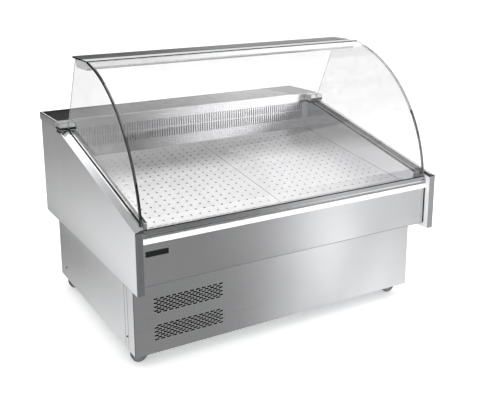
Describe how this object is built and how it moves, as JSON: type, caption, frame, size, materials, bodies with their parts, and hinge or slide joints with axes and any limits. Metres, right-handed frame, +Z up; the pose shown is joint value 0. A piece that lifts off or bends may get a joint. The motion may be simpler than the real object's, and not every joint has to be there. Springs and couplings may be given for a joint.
{
  "type": "refrigerated serve-over counter",
  "caption": "Refrigerated serve-over counter on castors with a sloped well, a curved front glass that tilts forward, flat side glasses, a lit canopy and a rear worktop.",
  "frame": {"origin": "middle of the footprint on the floor", "axes": "+X along the counter's length, -Y towards the customer, +Z up"},
  "size_m": [1.5, 1.2, 1.22],
  "materials": {
    "stainless": "brushed stainless sheet",
    "galvanised": "zinc plated",
    "aluminium": "satin anodised",
    "canopy_metal": "satin anodised, darker",
    "white_rail": "smooth white",
    "glass": "clear, polished edges",
    "rubber": "matt black",
    "wheel_grey": "moulded grey, darker tread",
    "opal": "opal",
    "copper": "drawn copper",
    "fins": "finned",
    "black_paint": "semi-gloss black",
    "black_plastic": "matt moulded",
    "key_grey": "matt moulded",
    "foam": "rigid foam",
    "pipe_plastic": "smooth grey",
    "lever_red": "dipped red"
  },
  "bodies": {
    "counter": {"base_front_panel": "stainless", "base_left_panel": "stainless", "base_rear_panel": "stainless", "base_right_panel": "stainless", "base_tray": "galvanised", "cable_gland": "black_plastic", "canopy_plate": "canopy_metal", "castor_plates": "galvanised", "clamp_pads": "rubber", "compressor": "black_paint", "condenser_coil": "fins", "condenser_motor": "black_paint", "condenser_shroud": "galvanised", "control_panel": "black_plastic", "corner_posts": "galvanised", "deck_rails": "stainless", "drain_pipe": "pipe_plastic", "end_panel_left": "stainless", "end_panel_right": "stainless", "evaporator_coil": "fins", "evaporator_fan_board": "stainless", "evaporator_motors": "black_paint", "front_air_grille": "stainless", "front_fascia": "stainless", "front_rail": "white_rail", "glass_channel_left": "aluminium", "glass_channel_right": "aluminium", "glass_clamps": "aluminium", "lamp_diffuser": "opal", "lamp_housing": "aluminium", "liquid_receiver": "black_paint", "panel_screws": "stainless", "rear_air_panel": "stainless", "rear_fascia": "stainless", "refrigerant_pipes": "copper", "side_gaskets": "rubber", "side_glass_left": "glass", "side_glass_right": "glass", "tub_insulation": "foam", "tub_liner": "stainless", "worktop": "stainless"},
    "glass_front": {"front_glass": "glass", "glass_shoe": "aluminium"},
    "evaporator_fan_left": {"evaporator_fan_left": "black_plastic"},
    "evaporator_fan_right": {"evaporator_fan_right": "black_plastic"},
    "condenser_fan": {"condenser_fan": "black_plastic"},
    "deck_left": {"deck_left": "stainless"},
    "deck_right": {"deck_right": "stainless"},
    "drain_lever": {"drain_lever": "lever_red"},
    "key_up": {"key_up": "key_grey"},
    "key_down": {"key_down": "key_grey"},
    "lamp_switch": {"lamp_switch": "black_plastic"},
    "castor_front_left": {"castor_fork_front_left": "galvanised"},
    "wheel_front_left": {"castor_wheel_front_left": "wheel_grey"},
    "castor_front_right": {"castor_fork_front_right": "galvanised"},
    "wheel_front_right": {"castor_wheel_front_right": "wheel_grey"},
    "castor_rear_left": {"castor_fork_rear_left": "galvanised"},
    "wheel_rear_left": {"castor_wheel_rear_left": "wheel_grey"},
    "castor_rear_right": {"castor_fork_rear_right": "galvanised"},
    "wheel_rear_right": {"castor_wheel_rear_right": "wheel_grey"}
  },
  "joints": [
    {"name": "front_glass_hinge", "type": "hinge", "parent": "counter", "child": "glass_front", "pos_m": [0, -0.566, 0.6125], "axis": [1, 0, 0], "range_deg": [0, 45]},
    {"name": "castor_front_left_swivel", "type": "hinge", "parent": "counter", "child": "castor_front_left", "pos_m": [-0.6415, -0.4, 0.09], "axis": [0, 0, 1], "continuous": true},
    {"name": "wheel_front_left_roll", "type": "hinge", "parent": "castor_front_left", "child": "wheel_front_left", "pos_m": [-0.6695, -0.4, 0.0375], "axis": [0, 1, 0], "continuous": true},
    {"name": "castor_front_right_swivel", "type": "hinge", "parent": "counter", "child": "castor_front_right", "pos_m": [0.6415, -0.4, 0.09], "axis": [0, 0, 1], "continuous": true},
    {"name": "wheel_front_right_roll", "type": "hinge", "parent": "castor_front_right", "child": "wheel_front_right", "pos_m": [0.6695, -0.4, 0.0375], "axis": [0, 1, 0], "continuous": true},
    {"name": "castor_rear_left_swivel", "type": "hinge", "parent": "counter", "child": "castor_rear_left", "pos_m": [-0.6415, 0.428, 0.09], "axis": [0, 0, 1], "continuous": true},
    {"name": "wheel_rear_left_roll", "type": "hinge", "parent": "castor_rear_left", "child": "wheel_rear_left", "pos_m": [-0.6695, 0.428, 0.0375], "axis": [0, 1, 0], "continuous": true},
    {"name": "castor_rear_right_swivel", "type": "hinge", "parent": "counter", "child": "castor_rear_right", "pos_m": [0.6415, 0.428, 0.09], "axis": [0, 0, 1], "continuous": true},
    {"name": "wheel_rear_right_roll", "type": "hinge", "parent": "castor_rear_right", "child": "wheel_rear_right", "pos_m": [0.6695, 0.428, 0.0375], "axis": [0, 1, 0], "continuous": true},
    {"name": "evaporator_fan_left_spin", "type": "hinge", "parent": "counter", "child": "evaporator_fan_left", "pos_m": [-0.3, 0.372, 0.7005], "axis": [0, -1, 0], "continuous": true},
    {"name": "deck_left_lift", "type": "slide", "parent": "counter", "child": "deck_left", "axis": [0, 0, 1], "range_m": [0, 0.15]},
    {"name": "evaporator_fan_right_spin", "type": "hinge", "parent": "counter", "child": "evaporator_fan_right", "pos_m": [0.3, 0.372, 0.7005], "axis": [0, -1, 0], "continuous": true},
    {"name": "deck_right_lift", "type": "slide", "parent": "counter", "child": "deck_right", "axis": [0, 0, 1], "range_m": [0, 0.15]},
    {"name": "condenser_fan_spin", "type": "hinge", "parent": "counter", "child": "condenser_fan", "pos_m": [-0.47, -0.353, 0.229], "axis": [0, -1, 0], "continuous": true},
    {"name": "drain_lever_turn", "type": "hinge", "parent": "counter", "child": "drain_lever", "pos_m": [0.25, 0.5265, 0.2125], "axis": [0, 0, 1], "range_deg": [0, 90]},
    {"name": "key_up_press", "type": "slide", "parent": "counter", "child": "key_up", "axis": [0, -1, 0], "range_m": [0, 0.0012], "stiffness_N_per_m": 400},
    {"name": "key_down_press", "type": "slide", "parent": "counter", "child": "key_down", "axis": [0, -1, 0], "range_m": [0, 0.0012], "stiffness_N_per_m": 400},
    {"name": "lamp_switch_rock", "type": "hinge", "parent": "counter", "child": "lamp_switch", "pos_m": [0.37, 0.584, 0.787], "axis": [1, 0, 0], "range_deg": [-8, 8]}
  ]
}
